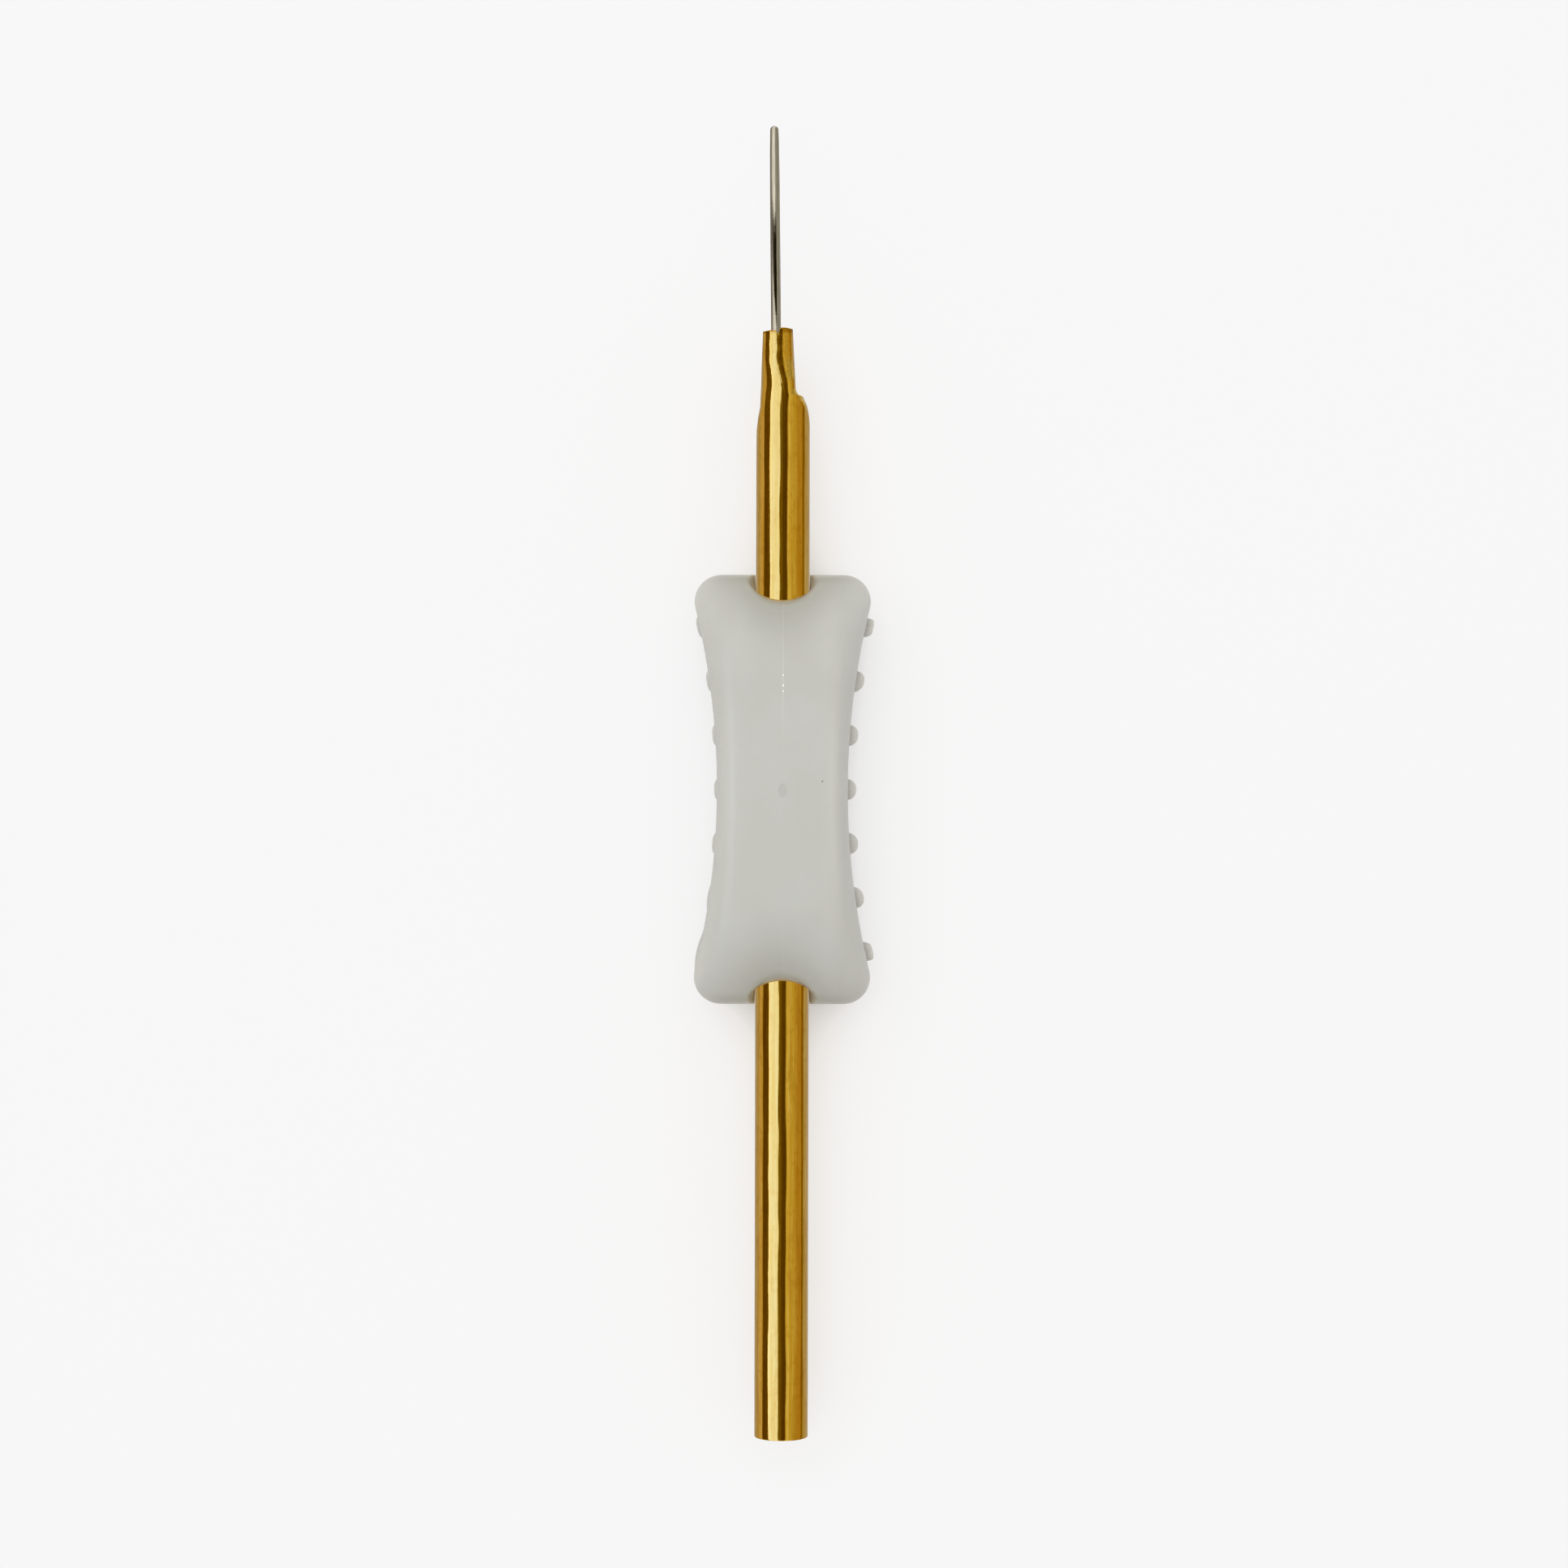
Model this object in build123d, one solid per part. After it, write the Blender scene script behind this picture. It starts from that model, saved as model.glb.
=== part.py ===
from build123d import *
from math import atan2, cos, degrees, hypot, pi, sin
import os

# A crimped-point awl, lying on its grip. Millimetres, +Z up, blade towards +Y.
# The origin is on the surface it lies on, under the middle of its length.
# Each piece is made about the tube's axis, with y counted from the tail end, and placed at the end.

# Barrel: a rolled brass tube, its front end crimped on to the blade
TUBE_DIAMETER = 4.76
TUBE_WALL = 0.4
TAIL_EDGE_ROUND = 0.12
BORE_DEPTH = 89.5
NECK_RIM = 98.2
# Crimp stations: place along the tube, left side, right side, half depth
CRIMP_START = 89.0
CRIMP_STATIONS = [
    (90.9, -2.28, 2.32, 2.38),
    (92.1, -2.04, 2.04, 2.36),
    (92.8, -2.00, 1.22, 2.33),
    (93.7, -1.97, 1.08, 2.31),
    (NECK_RIM, -1.80, 0.87, 2.20),
]

# Blade: steel wire with a blunt round tip, leaning a little to the left
BLADE_ROOT_DIAMETER = 0.90
BLADE_TIP_DIAMETER = 0.74
BLADE_EXPOSED = 18.25
BLADE_HELD = 7.2
BLADE_OFFSET = -0.61
BLADE_TIP_OFFSET = -0.77

# Grip: a soft hourglass sleeve with nubs down both sides
GRIP_LENGTH = 38.1
GRIP_CENTRE = 57.5
GRIP_WIDTH = 15.58
GRIP_WAIST = 11.54
GRIP_DEPTH = 11.8
GRIP_CORNER_RADIUS = 2.44
GRIP_END_TAPER = 9.5
GRIP_END_FLAT = 0.15
GRIP_EDGE_ROUND = 1.6
GRIP_CLEARANCE = 0.03
MOUTH_DEPTH = 1.25
MOUTH_FLARE = 1.1
NUB_COUNT = 7
NUB_PITCH = 4.79
NUB_DIAMETER = 1.95
NUB_HEIGHT_RIGHT = 0.8
NUB_HEIGHT_LEFT = 0.32
NUB_ROUND_SHARE = 0.8  # of a nub's height that is its rounded rim
NUB_ROOT = 1.0  # of a nub's length that is sunk in the side

TUBE_RADIUS = TUBE_DIAMETER / 2
TOTAL_LENGTH = NECK_RIM + BLADE_EXPOSED


def across(y, x=0.0):
    """The plane square to the tube's axis at y, its own z pointing at the tip."""
    return Plane(origin=(x, y, 0), x_dir=(1, 0, 0), z_dir=(0, 1, 0))


def rod(radius, start, end):
    """A round rod on the tube's axis."""
    return extrude(across(start) * Circle(radius), end - start)


def crimp():
    """The squeezed front end: a round end that narrows to an oval neck, flush at front and back."""
    sections = [across(CRIMP_START) * Circle(TUBE_RADIUS)]
    for y, left, right, half_depth in CRIMP_STATIONS:
        sections.append(across(y, (left + right) / 2) * Ellipse((right - left) / 2, half_depth))
    return loft(sections, ruled=True)


def on_blade_axis(piece):
    """Turns and moves a piece made on the Y axis so that it lies on the leaning blade's axis."""
    lean = degrees(atan2(BLADE_OFFSET - BLADE_TIP_OFFSET, BLADE_EXPOSED))
    return Pos(BLADE_OFFSET, NECK_RIM, 0) * Rot(0, 0, lean) * piece


def barrel_tube():
    straight = rod(TUBE_RADIUS, 0, CRIMP_START)
    tail_edge = straight.edges().filter_by(GeomType.CIRCLE).sort_by(Axis.Y)[0]
    straight = fillet(tail_edge, TAIL_EDGE_ROUND)
    tube = straight + crimp() - rod(TUBE_RADIUS - TUBE_WALL, 0, BORE_DEPTH)
    past_rim = 1.0
    return tube - on_blade_axis(rod(BLADE_ROOT_DIAMETER / 2, -BLADE_HELD, past_rim))


def awl_blade():
    root = BLADE_ROOT_DIAMETER / 2
    tip = BLADE_TIP_DIAMETER / 2
    round_start = BLADE_EXPOSED - tip
    outline = Polyline((0, -BLADE_HELD), (root, -BLADE_HELD), (root, 0), (tip, round_start))
    outline += ThreePointArc(
        (tip, round_start),
        (tip * cos(pi / 4), round_start + tip * sin(pi / 4)),
        (0, BLADE_EXPOSED),
    )
    outline += Line((0, BLADE_EXPOSED), (0, -BLADE_HELD))
    return on_blade_axis(revolve(make_face(outline), Axis.Y))


def waist_radius():
    """The radius of the side's long hollow arc, tangent to the corner arcs."""
    corner_y = GRIP_LENGTH / 2 - GRIP_CORNER_RADIUS
    inset = GRIP_WAIST / 2 - (GRIP_WIDTH / 2 - GRIP_CORNER_RADIUS)
    return (corner_y**2 + inset**2 - GRIP_CORNER_RADIUS**2) / (2 * (GRIP_CORNER_RADIUS - inset))


def half_width(y):
    """Half the grip's width at a distance y from its middle, along the hollow arc."""
    radius = waist_radius()
    return GRIP_WAIST / 2 + radius - (radius**2 - y**2) ** 0.5


def grip_front_outline():
    """The hourglass: flat ends, round corners and a hollow arc down each side."""
    half_length = GRIP_LENGTH / 2
    corner_x = GRIP_WIDTH / 2 - GRIP_CORNER_RADIUS
    corner_y = half_length - GRIP_CORNER_RADIUS
    to_centre = (GRIP_WAIST / 2 + waist_radius() - corner_x, -corner_y)
    reach = GRIP_CORNER_RADIUS / hypot(*to_centre)
    meet = (corner_x + to_centre[0] * reach, corner_y + to_centre[1] * reach)
    crown = GRIP_CORNER_RADIUS * cos(pi / 4)
    corner = ThreePointArc((corner_x, half_length), (corner_x + crown, corner_y + crown), meet)
    side = ThreePointArc(meet, (GRIP_WAIST / 2, 0), (meet[0], -meet[1]))
    half = corner + side + mirror(corner, Plane.XZ)
    ends = [Line((-corner_x, y), (corner_x, y)) for y in (half_length, -half_length)]
    return make_face(half + mirror(half, Plane.YZ) + ends[0] + ends[1])


def grip_side_outline():
    """Flat front and back, with long elliptical ends just cut flat at their crowns."""
    ellipse_at = GRIP_LENGTH / 2 + GRIP_END_FLAT - GRIP_END_TAPER
    outline = Rectangle(2 * ellipse_at, GRIP_DEPTH)
    for y in (ellipse_at, -ellipse_at):
        outline += Pos(y, 0) * Ellipse(GRIP_END_TAPER, GRIP_DEPTH / 2)
    return outline


def grip_body():
    front = extrude(grip_front_outline(), GRIP_DEPTH, both=True)
    side = extrude(Plane.YZ * grip_side_outline(), GRIP_WIDTH, both=True)
    body = front & side
    flats = body.faces().filter_by(Axis.Z)
    long_edges = flats.edges().filter_by(lambda edge: abs(edge.center().X) > GRIP_WAIST / 4)
    return fillet(long_edges, GRIP_EDGE_ROUND)


def nub(height, base_x):
    """A blunt dome pointing along +X from a side surface at base_x."""
    peg = Cylinder(NUB_DIAMETER / 2, NUB_ROOT + height, align=(Align.CENTER, Align.CENTER, Align.MIN))
    peg = Pos(base_x - NUB_ROOT, 0, 0) * Rot(0, 90, 0) * peg
    tip_edge = peg.edges().filter_by(GeomType.CIRCLE).sort_by(Axis.X)[-1]
    return fillet(tip_edge, NUB_ROUND_SHARE * height)


def grip_sleeve():
    grip = grip_body()
    for i in range(NUB_COUNT):
        y = (i - (NUB_COUNT - 1) / 2) * NUB_PITCH
        grip += Pos(0, y, 0) * nub(NUB_HEIGHT_RIGHT, half_width(y))
        grip += Pos(0, y, 0) * Rot(0, 180, 0) * nub(NUB_HEIGHT_LEFT, half_width(y))
    bore_radius = TUBE_RADIUS + GRIP_CLEARANCE
    grip -= rod(bore_radius, -GRIP_LENGTH, GRIP_LENGTH)
    for turn in (0, 180):
        mouth_bottom = across(GRIP_LENGTH / 2 - MOUTH_DEPTH) * Circle(bore_radius)
        mouth_top = across(GRIP_LENGTH / 2) * Circle(bore_radius + MOUTH_FLARE)
        grip -= Rot(0, 0, turn) * loft([mouth_bottom, mouth_top], ruled=True)
    return Pos(0, GRIP_CENTRE, 0) * grip


PIECES = {"barrel_tube": barrel_tube, "awl_blade": awl_blade, "grip_sleeve": grip_sleeve}

os.makedirs("parts", exist_ok=True)
for name, make in PIECES.items():
    piece = Pos(0, -TOTAL_LENGTH / 2, GRIP_DEPTH / 2) * make()
    export_step(piece, f"parts/{name}.step")
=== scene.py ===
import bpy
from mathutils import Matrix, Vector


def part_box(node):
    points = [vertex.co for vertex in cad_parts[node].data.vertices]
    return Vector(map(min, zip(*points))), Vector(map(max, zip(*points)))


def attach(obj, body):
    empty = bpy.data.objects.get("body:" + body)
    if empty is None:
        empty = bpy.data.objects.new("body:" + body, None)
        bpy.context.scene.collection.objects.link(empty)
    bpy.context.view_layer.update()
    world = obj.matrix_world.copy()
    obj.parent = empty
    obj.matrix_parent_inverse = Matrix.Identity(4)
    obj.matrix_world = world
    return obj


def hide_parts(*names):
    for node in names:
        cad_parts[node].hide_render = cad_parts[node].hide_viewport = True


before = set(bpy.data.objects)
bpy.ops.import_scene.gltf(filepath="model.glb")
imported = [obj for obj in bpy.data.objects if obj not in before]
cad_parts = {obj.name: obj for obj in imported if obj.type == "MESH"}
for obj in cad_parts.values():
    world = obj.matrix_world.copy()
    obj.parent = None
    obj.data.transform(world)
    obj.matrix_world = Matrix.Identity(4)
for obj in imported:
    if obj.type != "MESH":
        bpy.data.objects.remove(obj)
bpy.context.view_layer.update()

import math

import bpy
import numpy as np
from mathutils import Matrix

# A crimped-point awl: a steel blade in the crimped end of a rolled brass tube, and a soft grip
# round the tube. Shapes are worked out in millimetres about the tube's axis, x to the right,
# y along the tube from its tail end and z up, and are placed in the frame's metres at the end.
MM = 0.001
tube_low, tube_high = np.array(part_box("barrel_tube")) / MM
grip_low, grip_high = np.array(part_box("grip_sleeve")) / MM
AXIS = np.array([0.0, tube_low[1], (tube_low[2] + tube_high[2]) / 2])
TUBE_RADIUS = (tube_high[2] - tube_low[2]) / 2
RIM = tube_high[1] - tube_low[1]
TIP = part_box("awl_blade")[1][1] / MM - tube_low[1]

# Barrel: places along it, and how far its sides stand from the axis
BORE_RADIUS = TUBE_RADIUS - 0.4
BORE_DEPTH = 89.5
BORE_ROUND = 0.06
TAIL_ROUND = 0.12
SHOULDER_START = RIM - 8.65
SHOULDER_END = RIM - 5.85
SHOULDER_DROP = 0.66
FILLET_END = RIM - 5.10
FILLET_DROP = 0.60
NECK_RIGHT = 1.12
NECK_TAPER = 0.25
SEAM_X = 0.07
NECK_SEAM_X = -0.43
RIM_LIFT = 0.05

# Blade
BLADE_RADIUS = 0.458
BLADE_AT_RIM = -0.64
BLADE_AT_TIP = -0.83
BLADE_HELD = 7.0
BLADE_TIP_LENGTH = 0.34
# Its polish leans this steeply towards the tip, so that it shows its own cards
BLADE_LEAN = 0.072

# Grip: half widths, half depths and places from its own middle
GRIP_MIDDLE = (grip_low[1] + grip_high[1]) / 2 - tube_low[1]
GRIP_HALF_LENGTH = (grip_high[1] - grip_low[1]) / 2
GRIP_HALF_DEPTH = (grip_high[2] - grip_low[2]) / 2
WAIST = 5.77
CORNER_X = 5.35
CORNER_RADIUS = 2.44
FACE_AT_WAIST = 4.07
FACE_AT_ENDS = 4.83
EDGE_SHARE = 0.52
END_TAPER = 9.5
SIDE_END = 15.7
GRIP_BORE = TUBE_RADIUS + 0.03
MOUTH_DEPTH_TIP_END = 1.52
MOUTH_DEPTH_TAIL_END = 1.34
MOUTH_SPREAD_SIDE = 0.2
MOUTH_SPREAD_FRONT = 2.35
PARTING_HEIGHT = 0.008
PARTING_X = 0.07
NUB_PITCH = 4.79
# Each nub from the tip's end: how far it stands out, half its length, and how square its top is
NUBS_RIGHT = [(0.75, 0.86, 5.0)] + [(0.80, 0.95, 2.4)] * 5 + [(0.75, 0.86, 5.0)]
NUBS_LEFT = [(0.30, 0.95, 2.4)] * 5 + [(0.19, 1.8, 2.0), (0.28, 2.3, 2.0)]

# Camera, in millimetres and degrees
CAMERA_X = 0.15
CAMERA_Y = -0.245
CAMERA_ROLL = 0.12
CAMERA_DISTANCE = 324.5
PICTURE_WIDTH = 139.3

# Studio
FLOOR_REACH = 6.0
TENT_RADIUS = 0.25
TENT_REACH = 0.6
# The tent's cards: the angle right of straight up where each starts, how soft that edge is, its colour
FIRST_CARD = (0.50, 0.45, 0.42)
CARDS = [
    (-112, 4.0, (0.64, 0.52, 0.44)),
    (-88, 3.0, (0.11, 0.055, 0.012)),
    (-56.5, 1.0, (2.4, 2.6, 3.0)),
    (-50, 2.0, (1.22, 1.42, 1.95)),
    (-14, 1.5, (0.17, 0.11, 0.02)),
    (1.0, 1.5, (0.085, 0.04, 0.004)),
    (19.0, 1.5, (0.74, 0.66, 0.46)),
    (34, 5.0, (0.62, 0.53, 0.33)),
    (62, 14.0, (0.49, 0.34, 0.20)),
    (93, 3.0, (0.24, 0.13, 0.02)),
    (106, 4.0, (0.52, 0.48, 0.47)),
]
# The blade's own cards, from this place along the tent on, and the dark window cut in them
BLADE_CARDS_START = 151.0
FIRST_BLADE_CARD = (0.55, 0.53, 0.50)
BLADE_CARDS = [
    (-112, 8.0, (0.32, 0.31, 0.28)),
    (-78, 6.0, (1.0, 0.97, 0.88)),
    (-45, 10.0, (1.4, 1.35, 1.22)),
    (6, 6.0, (0.62, 0.60, 0.52)),
    (36, 8.0, (0.50, 0.48, 0.42)),
    (62, 8.0, (0.42, 0.40, 0.34)),
    (94, 6.0, (0.64, 0.62, 0.56)),
]
WINDOW_START = 168.3
WINDOW_END = 185.0
WINDOW_SLANT = 0.09


# ---------------------------------------------------------------- shapes


def ease(t):
    """Rises from 0 to 1 with t, level at both ends: 3 t squared less 2 t cubed."""
    t = np.clip(t, 0, 1)
    return t * t * (3 - 2 * t)


def quarter(t):
    """A quarter circle's fall, level at t = 0 and upright at t = 1: 1 less the root of 1 - t squared."""
    return 1 - np.sqrt(1 - np.clip(t, 0, 1) ** 2)


def bell(t):
    """A round bump of height 1 at t = 0: e to the power of minus t squared."""
    return np.exp(-(t**2))


def soft_least(a, b, softness):
    """The smaller of two numbers, rounded over where they differ by less than the softness."""
    nearness = np.clip(1 - np.abs(a - b) / np.maximum(softness, 1e-9), 0, 1)
    return np.minimum(a, b) - nearness**2 * softness / 4


def angles_round(*dense):
    """Angles once round, in radians, close together only in each dense stretch: its start, its end and
    its step, in degrees."""
    sparse_step = 2.0
    stops = []
    first = at = dense[0][0]
    for start, end, step in dense:
        if start > at:
            count = max(2, round((start - at) / sparse_step))
            stops.append(np.linspace(at, start, count, endpoint=False))
        stops.append(np.linspace(start, end, round((end - start) / step), endpoint=False))
        at = end
    last = first + 360
    stops.append(np.linspace(at, last, round((last - at) / sparse_step), endpoint=False))
    return np.radians(np.concatenate(stops))


def surface(name, points, loop=False):
    """A closed smooth mesh from a grid of points, rows by columns by xyz in the maker's millimetres.

    Columns join up round the axis. The first and last rows close on a middle point each, or on
    each other where loop is true."""
    rows, columns = points.shape[:2]
    here = np.arange(rows * columns).reshape(rows, columns)
    across = np.roll(here, -1, axis=1)
    corners = points.reshape(-1, 3)
    if loop:
        quads = np.stack([here, across, np.roll(across, -1, axis=0), np.roll(here, -1, axis=0)], -1)
        faces = quads.reshape(-1, 4).tolist()
    else:
        quads = np.stack([here[:-1], across[:-1], across[1:], here[1:]], -1)
        faces = quads.reshape(-1, 4).tolist()
        pole = np.full(columns, rows * columns)
        faces += np.stack([across[0], here[0], pole], -1).tolist()
        faces += np.stack([here[-1], across[-1], pole + 1], -1).tolist()
        corners = np.vstack([corners, points[0].mean(axis=0), points[-1].mean(axis=0)])
    mesh = bpy.data.meshes.new(name)
    mesh.from_pydata(((corners + AXIS) * MM).tolist(), [], faces)
    mesh.polygons.foreach_set("use_smooth", np.ones(len(mesh.polygons), bool))
    mesh.update()
    piece = bpy.data.objects.new(name, mesh)
    bpy.context.scene.collection.objects.link(piece)
    return piece


# ---------------------------------------------------------------- barrel


def right_side(y):
    """Where the crimping die pressed the right side to: a round shoulder falls in a quarter ellipse,
    a hollow quarter ellipse runs it into the neck, and the neck tapers to its rim."""
    fall = quarter((y - SHOULDER_START) / (SHOULDER_END - SHOULDER_START))
    shoulder = TUBE_RADIUS - SHOULDER_DROP * fall
    hollow = NECK_RIGHT + FILLET_DROP * quarter((FILLET_END - y) / (FILLET_END - SHOULDER_END))
    neck = NECK_RIGHT - NECK_TAPER * (y - FILLET_END) / (RIM - FILLET_END)
    return np.where(y < SHOULDER_END, shoulder, np.where(y < FILLET_END, hollow, neck))


def left_side(y):
    """The same on the left, where the die left only a slight ramp, a small step and a tapering side."""
    ramp = 0.12 * ease((y - SHOULDER_START + 0.7) / 2.0)
    step = 0.21 * ease((y - SHOULDER_START - 0.85) / 1.2)
    taper = 0.24 * np.clip((y - SHOULDER_START - 2.05) / 6.6, 0, 1)
    return TUBE_RADIUS - ramp - step - taper


def crown_shift(y):
    """How far the round front of the neck stands right of the tube's axis: first a little to the
    right at the neck's foot, then to the left up to the rim."""
    return 0.12 * bell((y - RIM + 5.3) / 1.2) - 0.36 * ease((y - RIM + 5.0) / 2.6)


def barrel_skin(y, angle):
    """The tube's outside at y and angle: a circle on the tube and a narrower ellipse in the neck, whose
    sides are pressed in softly to the die's two faces, with a hairline butt seam sunk in its front. Three
    slow waves run round the tube, and small dents over the neck."""
    squeeze = ease((y - SHOULDER_END) / 3.0)
    half_width = TUBE_RADIUS - 0.36 * squeeze
    reach = crown_shift(y) + half_width
    x = crown_shift(y) + half_width * np.cos(angle)
    z = TUBE_RADIUS * np.sin(angle)
    right, left = right_side(y), left_side(y)
    x = soft_least(x, right, np.clip(2.5 * (reach - right), 0, 1.1 - 0.45 * squeeze))
    x = -soft_least(-x, left, np.clip(2.5 * (TUBE_RADIUS - left), 0, 0.35))
    seam_x = SEAM_X + (NECK_SEAM_X - SEAM_X) * ease((y - SHOULDER_END) / 2.5)
    groove = np.where(np.sin(angle) > 0, bell((x - seam_x) / 0.03), 0)
    waves = np.sin(1.1 * y + 2 * angle) + np.sin(0.63 * y - 3 * angle + 1.0) + np.sin(0.37 * y + 5 * angle)
    dents = np.sin(2.9 * y + 3 * x) * np.sin(4.1 * x + 0.8 * y) + np.sin(4.7 * y - 2 * x + 2.0)
    wave, groove_depth, dent = 0.0014 * waves * ease(y / 3), 0.004 * (1 - 0.5 * squeeze), 0.004 * dents
    z = z * (1 + wave) - groove * groove_depth + dent * squeeze
    return x, z


def rim_height(x, z):
    """The cut end of the neck: the right lip stands higher, and the seam opens in a small notch."""
    left_lip = 0.24 * (1 - ease((x - NECK_SEAM_X + 0.02) / 0.16))
    notch = 0.30 * bell((x - NECK_SEAM_X) / 0.12) * (z > 0)
    waver = 0.03 * np.sin(5 * x + 1.0) * np.cos(3 * z)
    return RIM + RIM_LIFT - left_lip - notch + waver


def make_barrel():
    """The tube as one closed skin, row by row: up the bore, round the tail's edge, along the outside
    to the crimp, over the neck's rim and down the hole that holds the blade."""
    angle = angles_round((85.0, 95.0, 0.25), (268.0, 272.0, 1.0))
    ring = np.ones_like(angle)
    rows = []

    def add(x, y, z):
        rows.append(np.stack([x * ring, y * ring, z * ring], -1))

    def add_ring(radius, y):
        add(radius * np.cos(angle), y, radius * np.sin(angle))

    for y in np.linspace(BORE_DEPTH, 1.0, 40):
        add_ring(BORE_RADIUS, y)
    for turn in np.radians(np.linspace(0, 90, 5)):
        add_ring(BORE_RADIUS + BORE_ROUND * (1 - math.cos(turn)), BORE_ROUND * (1 - math.sin(turn)))
    for turn in np.radians(np.linspace(0, 90, 8)):
        add_ring(TUBE_RADIUS - TAIL_ROUND * (1 - math.sin(turn)), TAIL_ROUND * (1 - math.cos(turn)))
    straight = np.linspace(0.6, SHOULDER_START - 0.2, 70)
    fall = SHOULDER_START + (SHOULDER_END - SHOULDER_START) * np.sin(np.radians(np.linspace(0, 89, 40)))
    hollow = FILLET_END - (FILLET_END - SHOULDER_END) * np.cos(np.radians(np.linspace(0, 88, 20)))
    neck = np.linspace(FILLET_END, RIM, 62)
    for y in np.concatenate([straight, fall, hollow]):
        x, z = barrel_skin(np.array(y), angle)
        add(x, y, z)
    x_rim, z_rim = barrel_skin(np.array(RIM), angle)
    height = rim_height(x_rim, z_rim)
    for share in (neck[1:] - FILLET_END) / (RIM - FILLET_END):
        y = FILLET_END + share * (height - RIM_LIFT - FILLET_END)
        x, z = barrel_skin(y, angle)
        add(x, y, z)
    hole_radius = BLADE_RADIUS + 0.01
    hole_x = BLADE_AT_RIM + hole_radius * np.cos(angle)
    hole_z = hole_radius * np.sin(angle)
    # Over the lip and in to the blade: the share of the way in, and the height over the rim
    outer_lip = [(0.015, -0.02), (0.04, 0.0), (0.08, -0.005), (0.16, -0.03), (0.2, -0.12), (0.24, -0.2)]
    inner_lip = [(0.5, -0.22), (0.8, -0.2), (0.93, -0.16), (1.0, -0.2)]
    for share, lift in outer_lip + inner_lip:
        x, z = x_rim + share * (hole_x - x_rim), z_rim + share * (hole_z - z_rim)
        flatter = ease(share / 0.5)
        add(x, height * (1 - flatter) + (RIM - 0.15) * flatter + lift, z)
    for y in np.linspace(RIM - 0.5, RIM - BLADE_HELD, 6):
        add(hole_x, y, hole_z)
    return surface("barrel", np.array(rows))


# ---------------------------------------------------------------- blade


def make_blade():
    """The wire: circles along a straight line that leans a little left, their radius easing down towards
    the tip. The tip is a half circle stretched lengthwise."""
    angle = np.radians(np.arange(0, 360, 6.0))
    tip_start = TIP - BLADE_TIP_LENGTH
    body = np.concatenate([[RIM - BLADE_HELD + 0.05], np.linspace(RIM - 1.0, tip_start, 90)])
    dome = TIP - BLADE_TIP_LENGTH * (1 - np.sin(np.radians(np.linspace(0, 88, 14))[1:]))
    y = np.concatenate([body, dome])[:, None]
    from_tip = TIP - y
    radius = BLADE_RADIUS * (1 - 0.17 * np.exp(-from_tip / 2.2))
    radius = radius * np.sqrt(1 - np.clip(1 - from_tip / BLADE_TIP_LENGTH, 0, 1) ** 2)
    out = (y - RIM) / (TIP - RIM)
    x = BLADE_AT_RIM + (BLADE_AT_TIP - BLADE_AT_RIM) * out + radius * np.cos(angle)
    z = radius * np.sin(angle)
    points = np.stack(np.broadcast_arrays(x, y, z), -1)
    return surface("blade", points)


# ---------------------------------------------------------------- grip


def half_width(y):
    """Half the grip's width at y from its middle: a long hollow arc, then a round corner arc."""
    y = np.abs(y)
    corner_y = GRIP_HALF_LENGTH - CORNER_RADIUS
    inset = WAIST - CORNER_X
    arc = (corner_y**2 + inset**2 - CORNER_RADIUS**2) / (2 * (CORNER_RADIUS - inset))
    meet = corner_y * arc / (arc + CORNER_RADIUS)
    hollow = WAIST + arc - np.sqrt(arc**2 - np.minimum(y, meet) ** 2)
    corner = CORNER_X + np.sqrt(np.clip(CORNER_RADIUS**2 - (y - corner_y) ** 2, 0, None))
    return np.where(y < meet, hollow, corner)


def half_depth(y):
    """Half the grip's depth at y from its middle: flat, with a long elliptical end."""
    into_end = np.clip((np.abs(y) - GRIP_HALF_LENGTH + END_TAPER) / END_TAPER, 0, 1)
    return GRIP_HALF_DEPTH * np.sqrt(1 - into_end**2)


def outside_grip(x, y, z):
    """Above 1 outside the grip's body and below 1 inside: each slice across the grip is a rectangle
    with elliptical corners, measured from where its corners start."""
    width, depth = half_width(y), np.maximum(half_depth(y), 1e-6)
    face = FACE_AT_WAIST + (FACE_AT_ENDS - FACE_AT_WAIST) * (y / GRIP_HALF_LENGTH) ** 2
    round_x, round_z = width - face, EDGE_SHARE * depth
    over_x = np.clip((np.abs(x) - face) / round_x, 0, None)
    over_z = np.clip((np.abs(z) - depth + round_z) / round_z, 0, None)
    far_outside = 9.0
    return np.where(np.abs(y) < GRIP_HALF_LENGTH, np.hypot(over_x, over_z), far_outside)


def reach_to_grip(origin, direction):
    """How far each ray goes from its origin to the body's outside, by halving the gap 40 times."""
    near, far = np.zeros(direction.shape[:-1]), np.full(direction.shape[:-1], 12.0)
    for _ in range(40):
        middle = (near + far) / 2
        point = origin + direction * middle[..., None]
        inside = outside_grip(point[..., 0], point[..., 1], point[..., 2]) < 1
        near, far = np.where(inside, middle, near), np.where(inside, far, middle)
    return near


def mouth_sink(x, z, depth):
    """How far the sleeve's end sinks round the tube, easing from its full depth at the bore to nothing.
    It fades out slowly in front and behind and quickly beside the tube, and does not sink at mid-depth,
    level with the axis."""
    from_axis = np.hypot(x, z)
    facing = ease(np.abs(z) / from_axis)
    spread = MOUTH_SPREAD_SIDE + (MOUTH_SPREAD_FRONT - MOUTH_SPREAD_SIDE) * facing
    return depth * ease(np.abs(z) / 0.5) * (1 - ease((from_axis - GRIP_BORE) / spread))


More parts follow.
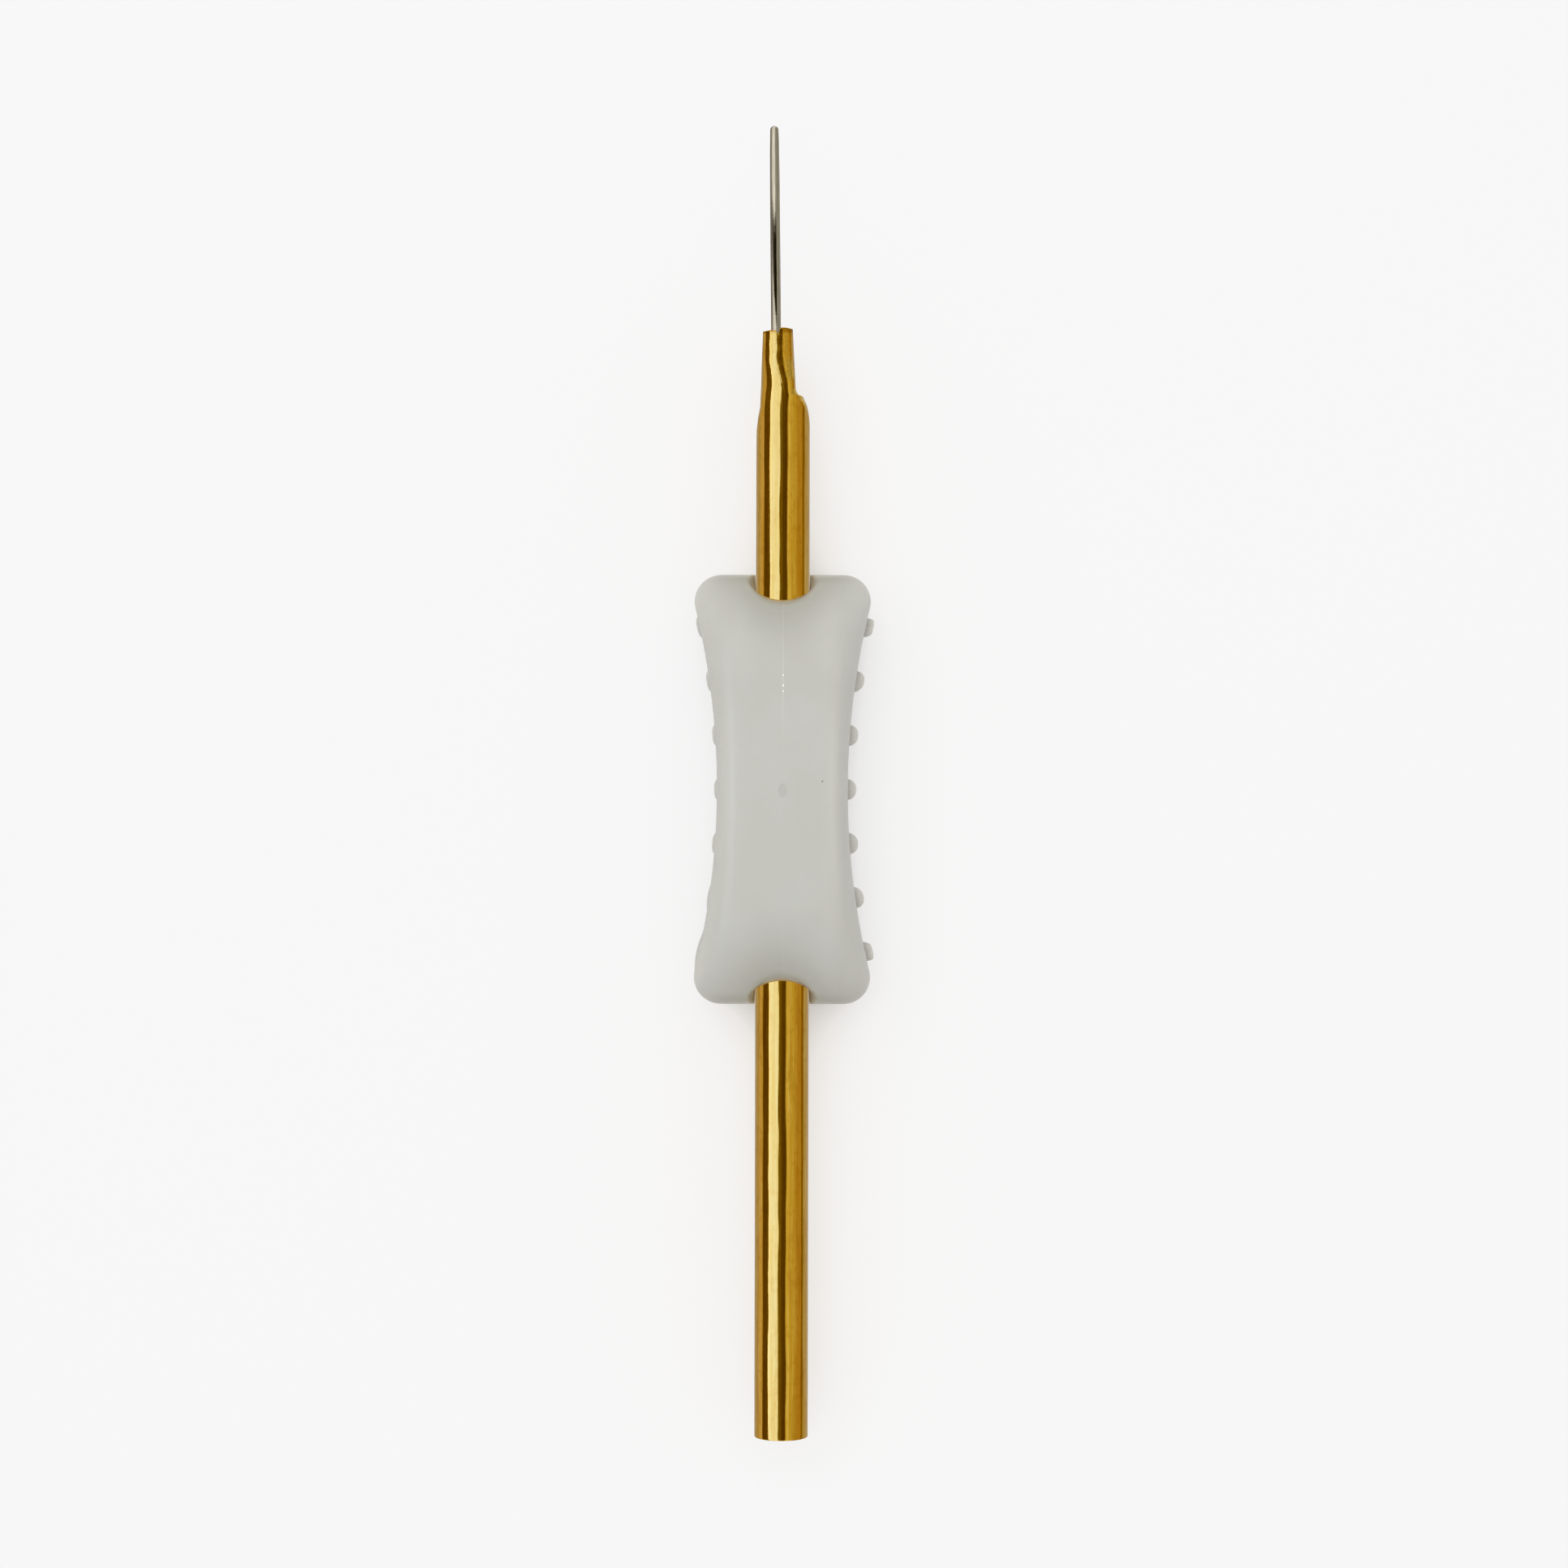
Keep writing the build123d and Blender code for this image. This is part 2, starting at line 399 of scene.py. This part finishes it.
def nub_swell(y, z, nubs):
    """How far the nubs of one side stand out at y and z: round domes with steep sides, and where a nub
    is long, a low swelling without an edge."""
    total = np.zeros_like(y)
    for i, (height, length, squareness) in enumerate(nubs):
        middle = ((len(nubs) - 1) / 2 - i) * NUB_PITCH
        steepness = 0.62 if length < 1 else 2.0
        away = np.hypot((y - middle) / length, z / min(length, 1.1))
        total += height * np.clip(1 - away**squareness, 0, None) ** steepness
    return total


def make_grip():
    """The sleeve as one closed skin: rays from the axis give the side, rays fanning out from two points
    on the axis give the ends, the mouths sink round the tube, and the bore joins them."""
    angle = angles_round((-9.0, 9.0, 0.8), (88.5, 91.5, 0.3), (171.0, 189.0, 0.8), (268.5, 271.5, 0.3))
    centres = np.arange(-3, 4) * NUB_PITCH
    near = (centres[:, None] + np.linspace(-1.05, 1.05, 24)).ravel()
    between = ((centres[:-1, None] + centres[1:, None]) / 2 + np.linspace(-0.9, 0.9, 4)).ravel()
    y_side = np.sort(np.concatenate([near, between, [-SIDE_END, SIDE_END]]))
    radial = np.stack([np.cos(angle), 0 * angle, np.sin(angle)], -1)
    origin = np.zeros((len(y_side), 1, 3))
    origin[..., 1] = y_side[:, None]
    direction = np.broadcast_to(radial, (len(y_side),) + radial.shape)
    side = origin + direction * reach_to_grip(origin, direction)[..., None]

    origin = np.array([0, SIDE_END, 0])
    at_mouth = radial * GRIP_BORE + origin
    upward = np.broadcast_to(np.array([0.0, 1, 0]), at_mouth.shape)
    top = np.arctan2(reach_to_grip(at_mouth, upward), GRIP_BORE)
    share = 1 - (1 - np.linspace(0, 1, 46)[1:, None]) ** 1.5
    tilt = (share * top)[..., None]
    direction = radial * np.cos(tilt) + np.array([0, 1, 0]) * np.sin(tilt)
    end = origin + direction * reach_to_grip(np.broadcast_to(origin, direction.shape), direction)[..., None]
    other_end = end[::-1] * np.array([1, -1, 1])
    end[..., 1] -= mouth_sink(end[..., 0], end[..., 2], MOUTH_DEPTH_TIP_END)
    other_end[..., 1] += mouth_sink(other_end[..., 0], other_end[..., 2], MOUTH_DEPTH_TAIL_END)

    outside = np.concatenate([other_end, side, end])
    x, y, z = outside[..., 0], outside[..., 1], outside[..., 2]
    x = x + np.where(x > 0, nub_swell(y, z, NUBS_RIGHT), -nub_swell(y, z, NUBS_LEFT)) * (np.abs(z) < 1.2)
    x = np.clip(x, grip_low[0] - AXIS[0], grip_high[0] - AXIS[0])
    # The face dips a little over the tube towards both ends, and leaves a fine ridge down its middle
    saddle = 0.14 * bell(x / 3.4) * ease((np.abs(y) - 10.0) / 8.0) * ease((np.abs(z) - 2.45) / 1.2)
    parting = (bell(x / 0.04) - 1) * PARTING_HEIGHT * np.sign(z)
    z = z * (1 - saddle) + parting * (np.abs(z) > 2.8)
    z = np.clip(z, grip_low[2] - AXIS[2], grip_high[2] - AXIS[2])
    outside = np.stack([x, y, z], -1)

    share = np.linspace(0, 1, 16)[1:-1, None, None]
    bore = outside[-1] + (outside[0] - outside[-1]) * share
    points = np.concatenate([outside, bore]) + np.array([0, GRIP_MIDDLE, 0])
    return surface("grip", points, loop=True)


# ---------------------------------------------------------------- finishes


class Value:
    """A number socket. Sums written with it add the Math nodes that they mean."""

    def __init__(self, look, socket):
        self.look, self.socket = look, socket

    def maths(self, operation, *terms):
        return self.look.value("ShaderNodeMath", {"operation": operation}, dict(enumerate(terms)))

    def __add__(self, other):
        return self.maths("ADD", self, other)

    def __radd__(self, other):
        return self.maths("ADD", other, self)

    def __sub__(self, other):
        return self.maths("SUBTRACT", self, other)

    def __rsub__(self, other):
        return self.maths("SUBTRACT", other, self)

    def __mul__(self, other):
        return self.maths("MULTIPLY", self, other)

    def __rmul__(self, other):
        return self.maths("MULTIPLY", other, self)

    def __truediv__(self, other):
        return self.maths("DIVIDE", self, other)

    def __abs__(self):
        return self.maths("ABSOLUTE", self)

    def root(self):
        return self.maths("SQRT", self)

    def eased(self, low, high):
        """0 below low and 1 above high, smooth between, or the other way round."""
        return self.look.value(
            "ShaderNodeMapRange",
            {"interpolation_type": "SMOOTHSTEP"},
            {"Value": self, "From Min": low, "From Max": high},
        )


class Look:
    """One material and the calls that build its nodes. Places are millimetres about the tube's axis."""

    def __init__(self, name):
        self.material = bpy.data.materials.new(name)
        self.material.use_nodes = True
        self.tree = self.material.node_tree
        self.tree.nodes.clear()
        coordinates = self.node("ShaderNodeTexCoord").outputs["Object"]
        in_mm = self.vector("MULTIPLY", coordinates, (1 / MM,) * 3)
        self.place = self.vector("SUBTRACT", in_mm, tuple(AXIS))
        parts = self.node("ShaderNodeSeparateXYZ", {}, {0: self.place})
        self.x, self.y, self.z = (Value(self, out) for out in parts.outputs)

    def angle(self):
        """Degrees right of straight up, seen along the tube."""
        return self.x.maths("ARCTAN2", self.x, self.z) * (180 / math.pi)

    def node(self, kind, settings=None, sockets=None):
        made = self.tree.nodes.new(kind)
        for key, value in (settings or {}).items():
            setattr(made, key, value)
        for key, value in (sockets or {}).items():
            if isinstance(value, Value):
                value = value.socket
            if isinstance(value, bpy.types.NodeSocket):
                self.tree.links.new(value, made.inputs[key])
            else:
                made.inputs[key].default_value = value
        return made

    def value(self, kind, settings, sockets):
        return Value(self, self.node(kind, settings, sockets).outputs[0])

    def vector(self, operation, first, second):
        return self.node("ShaderNodeVectorMath", {"operation": operation}, {0: first, 1: second}).outputs[0]

    def noise(self, size, detail=2.0, seed=0.0):
        """Noise from 0 to 1 whose grains are about size = (x, y, z) millimetres across."""
        place = self.vector("DIVIDE", self.place, size)
        place = self.vector("ADD", place, (seed, seed, seed))
        return self.value("ShaderNodeTexNoise", {}, {"Vector": place, "Scale": 1.0, "Detail": detail})

    def mix(self, factor, first, second):
        """A colour part of the way from the first to the second."""
        settings = {"data_type": "RGBA", "clamp_factor": True}
        return self.node("ShaderNodeMix", settings, {0: factor, 6: first, 7: second}).outputs[2]

    def bump(self, height, distance):
        """A normal from a height in millimetres times distance."""
        sockets = {"Height": height, "Strength": 1.0, "Distance": distance * MM}
        return self.node("ShaderNodeBump", {}, sockets).outputs["Normal"]

    def finish(self, sockets):
        shader = self.node("ShaderNodeBsdfPrincipled", {}, sockets)
        self.node("ShaderNodeOutputMaterial", {}, {"Surface": shader.outputs[0]})
        return self.material


def brass_look():
    """Bright brass: fine streaks along the tube, faint stains, a grainy neck with painted shade under its
    rim, a dull bore, and a dark hairline in the seam."""
    look = Look("bright_brass")
    streaks = look.noise((0.20, 9.0, 0.20), 3.0)
    stains = look.noise((0.7, 5.0, 0.7), 3.0, 5.0)
    blotches = look.noise((0.5, 0.9, 0.5), 3.0, 17.0)
    waver = look.noise((0.9, 6.0, 0.9), 1.0, 11.0)
    grain = look.noise((0.12, 0.5, 0.12), 2.0, 9.0)
    pits = look.noise((0.10, 0.12, 0.10), 2.0, 13.0)
    in_neck = look.y.eased(RIM - 6.5, RIM - 3.5)
    seam_x = SEAM_X + (NECK_SEAM_X - SEAM_X) * look.y.eased(SHOULDER_END, SHOULDER_END + 2.5)
    seam = (1 - abs(look.x - seam_x).eased(0.015, 0.05)) * look.z.eased(1.0, 1.5)
    inside = (look.x * look.x + look.z * look.z).eased(4.6, 4.1)
    inside = inside * look.y.eased(SHOULDER_START, SHOULDER_START - 1)
    bright = (streaks * 0.6 + stains * 0.4).eased(0.35, 0.68)
    tone = look.mix(bright, (0.75, 0.49, 0.125, 1), (0.90, 0.66, 0.230, 1))
    tone = look.mix(stains.eased(0.48, 0.66) * 0.55, tone, (0.64, 0.385, 0.10, 1))
    tone = look.mix(blotches.eased(0.52, 0.66) * 0.3, tone, (0.60, 0.35, 0.09, 1))
    tone = look.mix(in_neck * pits.eased(0.48, 0.62) * 0.5, tone, (0.58, 0.34, 0.08, 1))
    # Painted shade: dark brown over the last half millimetre up to the rim
    tone = look.mix(look.y.eased(RIM - 0.6, RIM - 0.15) * 0.7, tone, (0.34, 0.15, 0.035, 1))
    tone = look.mix(seam * (0.35 - in_neck * 0.2), tone, (0.20, 0.09, 0.02, 1))
    tone = look.mix(inside * 0.5, tone, (0.30, 0.15, 0.03, 1))
    height = streaks * 0.35 + grain * 0.12 + waver * 3.0 + in_neck * pits * 0.5
    return look.finish(
        {
            "Base Color": tone,
            "Metallic": 1.0,
            "Roughness": 0.05 + streaks * 0.05 + stains * 0.05 + in_neck * 0.03 + inside * 0.2,
            "Normal": look.bump(height, 0.006),
        }
    )


def steel_look():
    """Polished wire, warm grey, with fine grain lengthwise and faint pits."""
    look = Look("polished_steel")
    grain = look.noise((0.07, 1.4, 0.07), 3.0)
    pits = look.noise((0.12, 0.16, 0.12), 2.0, 4.0)
    tone = look.mix(grain.eased(0.3, 0.7), (0.44, 0.415, 0.365, 1), (0.56, 0.53, 0.475, 1))
    depth = 0.006
    height = grain * 0.4 + pits * 0.08 - look.y * (BLADE_LEAN / depth)
    return look.finish(
        {
            "Base Color": tone,
            "Metallic": 1.0,
            "Roughness": 0.03 + grain * 0.03,
            "Normal": look.bump(height, depth),
        }
    )


def silicone_look():
    """Milky rubber: cloudy patches, painted shade on the flanks and towards both mouths, dust by the mouths,
    a painted brass reflection and contact shade on the lip by the tube, a pale parting line with three
    bright flecks, a gate mark at its middle and one dark speck."""
    look = Look("milky_silicone")
    y = look.y - GRIP_MIDDLE
    clouds = look.noise((5.0, 7.0, 5.0), 2.0)
    scuffs = look.noise((2.2, 0.5, 2.2), 3.0, 3.0)
    grain = look.noise((0.22, 0.22, 0.22), 2.0, 7.0)
    front = look.z.eased(3.0, 5.0)
    parting = 0.12 + 0.88 * y.eased(2.0, 9.0) + 0.3 * y.eased(-10.0, -14.0)
    parting = (1 - abs(look.x - PARTING_X).eased(0.02, 0.075)) * parting
    tone = look.mix(clouds.eased(0.35, 0.65), (0.428, 0.424, 0.399, 1), (0.438, 0.436, 0.414, 1))
    tone = look.mix(parting * 0.16, tone, (0.66, 0.66, 0.64, 1))
    from_axis = (look.x * look.x + look.z * look.z).root()
    in_front = abs(look.z).eased(0.9, 1.9)
    # Painted shade towards both ends of the sleeve round the tube, stronger in front of it
    mouth_shade = from_axis.eased(8.0, 3.2) * abs(y).eased(6.5, 19.0) * (0.3 + in_front * 0.7)
    # Painted brass reflection and contact shade on the silicone right round the tube
    lip_reflection_and_shade = from_axis.eased(2.78, 2.5) * (0.15 + in_front * 0.85)
    dust = look.noise((0.16, 0.16, 0.16), 1.0, 2.0).eased(0.60, 0.72) * mouth_shade * from_axis.eased(4.2, 3.0)
    # Painted shade: both flanks darker than the face
    tone = look.mix(abs(look.x).eased(3.6, 5.6) * 0.5, tone, (0.360, 0.357, 0.336, 1))
    # Painted shade, laid on a little more thinly at the tail end
    tone = look.mix(mouth_shade * (0.72 - y.eased(5, -5) * 0.10), tone, (0.25, 0.242, 0.200, 1))
    tone = look.mix(dust * 0.5, tone, (0.25, 0.20, 0.12, 1))
    # Painted brass reflection and contact shade by the tube
    tone = look.mix(lip_reflection_and_shade * 0.75, tone, (0.34, 0.20, 0.06, 1))
    gate_x, gate_y = (look.x - PARTING_X) / 0.43, (y + 0.12) / 0.62
    gate = (gate_x * gate_x + gate_y * gate_y).eased(1.1, 0.6) * front
    tone = look.mix(gate * 0.25, tone, (0.33, 0.33, 0.31, 1))
    speck_x, speck_y = look.x - 3.5, y - 0.72
    speck = (speck_x * speck_x + speck_y * speck_y).eased(0.008, 0.003) * front
    tone = look.mix(speck * 0.8, tone, (0.10, 0.10, 0.09, 1))
    for fleck_y, size in ((9.98, 0.055), (9.08, 0.07), (8.58, 0.05)):
        fleck_x, along = (look.x - PARTING_X) / size, (y - fleck_y) / (size * 1.4)
        fleck = (fleck_x * fleck_x + along * along).eased(1.2, 0.5) * front
        tone = look.mix(fleck * 0.9, tone, (0.95, 0.95, 0.92, 1))
    height = scuffs * 0.5 + grain * 0.4 + clouds * 3.0 + parting * 0.5 - gate * 1.5
    return look.finish(
        {
            "Base Color": tone,
            "Roughness": 0.34 + scuffs * 0.14,
            "IOR": 1.41,
            "Subsurface Weight": 1.0,
            "Subsurface Radius": (1.0, 0.95, 0.85),
            "Subsurface Scale": 1.6 * MM,
            "Normal": look.bump(height, 0.02),
        }
    )


# ---------------------------------------------------------------- studio


def face_it(thing, place, target):
    """Puts a thing at place with its back (+Z) away from target and its own Y along the frame's Y."""
    away = np.array(place, float) - np.array(target, float)
    away /= np.linalg.norm(away)
    along = np.array([0, 1.0, 0]) - away[1] * away
    along /= np.linalg.norm(along)
    right = np.cross(along, away)
    matrix = np.eye(4)
    matrix[:3, 0], matrix[:3, 1], matrix[:3, 2], matrix[:3, 3] = right, along, away, place
    thing.matrix_world = Matrix(matrix.tolist())


def add_area(name, place, target, width, length, brightness):
    """A soft flat light at place, facing target, its length along Y. It lights pale surfaces as evenly as
    a card of that brightness, and is seen neither straight nor in reflections."""
    light = bpy.data.lights.new(name, "AREA")
    light.shape = "RECTANGLE"
    light.size, light.size_y = width, length
    light.energy = brightness * math.pi * width * length
    lamp = bpy.data.objects.new(name, light)
    face_it(lamp, place, target)
    lamp.visible_camera = lamp.visible_glossy = False
    bpy.context.scene.collection.objects.link(lamp)


def plain_look(name, colour, roughness):
    material = bpy.data.materials.new(name)
    material.use_nodes = True
    shader = material.node_tree.nodes["Principled BSDF"]
    shader.inputs["Base Color"].default_value = colour
    shader.inputs["Roughness"].default_value = roughness
    return material


def add_floor():
    """A wide flat square at height 0, left out of reflections."""
    corners = np.array([(-1, -1, 0), (1, -1, 0), (1, 1, 0), (-1, 1, 0)]) * FLOOR_REACH
    mesh = bpy.data.meshes.new("floor")
    mesh.from_pydata(corners.tolist(), [], [(0, 1, 2, 3)])
    floor = bpy.data.objects.new("floor", mesh)
    bpy.context.scene.collection.objects.link(floor)
    mesh.materials.append(plain_look("pale_floor", (0.92, 0.92, 0.92, 1), 0.9))
    floor.visible_glossy = False


def card_colours(look, angle, first, cards):
    """Each card's colour from its starting angle to the next one's."""
    tone = first + (1,)
    for start, softness, colour in cards:
        tone = look.mix(angle.eased(start - softness, start + softness), tone, colour + (1,))
    return tone


def tent_look():
    """What the bright metal sees all round it: one set of cards along the tube, and beyond them the
    blade's own set, with a dark slanting window cut in it."""
    look = Look("tent_cards")
    angle = look.angle()
    tone = card_colours(look, angle, FIRST_CARD, CARDS)
    blade_tone = card_colours(look, angle, FIRST_BLADE_CARD, BLADE_CARDS)
    slanted_y = look.y - angle * WINDOW_SLANT
    window = look.y.eased(WINDOW_START - 1, WINDOW_START + 1)
    window = window * slanted_y.eased(WINDOW_END + 1.5, WINDOW_END - 1.5)
    window = window * angle.eased(-112, -85) * angle.eased(28, 23)
    dusk = look.mix(angle.eased(-85, -10), (0.34, 0.33, 0.30, 1), (0.008, 0.007, 0.004, 1))
    blade_tone = look.mix(window, blade_tone, dusk)
    at_blade = look.y.eased(BLADE_CARDS_START - 1, BLADE_CARDS_START + 1)
    tone = look.mix(at_blade, tone, blade_tone)
    return look.finish({"Base Color": (0, 0, 0, 1), "Emission Color": tone, "Emission Strength": 1.0})


def add_tent():
    """A paper tube round the awl that only reflections see, a circle carried along the awl."""
    turn = np.linspace(0, 2 * np.pi, 128, endpoint=False)
    ring = np.stack([np.sin(turn), 0 * turn, np.cos(turn)], -1) * TENT_RADIUS
    ends = np.array([[0, -TENT_REACH, 0], [0, TENT_REACH, 0]])[:, None]
    corners = (ring + ends).reshape(-1, 3) + [0, 0, AXIS[2] * MM]
    here = np.arange(len(turn))
    after = np.roll(here, -1)
    faces = np.stack([here, after, after + len(turn), here + len(turn)], -1)
    mesh = bpy.data.meshes.new("tent")
    mesh.from_pydata(corners.tolist(), [], faces.tolist())
    tent = bpy.data.objects.new("tent", mesh)
    bpy.context.scene.collection.objects.link(tent)
    tent.visible_camera = tent.visible_diffuse = tent.visible_shadow = tent.visible_transmission = False
    mesh.materials.append(tent_look())


def add_lights():
    """A white room and one large soft light above the awl's upper left."""
    add_area("soft_key", (-0.10, 0.16, 0.42), (0.0, 0.0, AXIS[2] * MM), 0.5, 0.5, 1.6)
    world = bpy.data.worlds.new("white_room")
    world.use_nodes = True
    background = world.node_tree.nodes["Background"]
    background.inputs["Color"].default_value = (1, 1, 1, 1)
    background.inputs["Strength"].default_value = 1.2
    bpy.context.scene.world = world
    bpy.context.scene.view_settings.view_transform = "Khronos PBR Neutral"


def add_camera():
    """Straight above the awl with its tip at the top of the picture."""
    lens = bpy.data.cameras.new("camera")
    lens.sensor_width = 36.0
    lens.lens = lens.sensor_width * CAMERA_DISTANCE / PICTURE_WIDTH
    lens.clip_start = 0.01
    camera = bpy.data.objects.new("camera", lens)
    camera.location = (CAMERA_X * MM, CAMERA_Y * MM, (AXIS[2] + CAMERA_DISTANCE) * MM)
    camera.rotation_euler.z = math.radians(CAMERA_ROLL)
    bpy.context.scene.collection.objects.link(camera)
    bpy.context.scene.camera = camera


# ---------------------------------------------------------------- the whole object


def dress(piece, body, node, look):
    """Gives a piece its finish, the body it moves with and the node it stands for."""
    piece.data.materials.append(look)
    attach(piece, body)
    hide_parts(node)


dress(make_barrel(), "barrel", "barrel_tube", brass_look())
dress(make_blade(), "barrel", "awl_blade", steel_look())
grip = make_grip()
# The tube beside the mouths shows the bright cards, not the grip's own shade
grip.visible_glossy = False
dress(grip, "grip", "grip_sleeve", silicone_look())
add_floor()
add_tent()
add_lights()
add_camera()
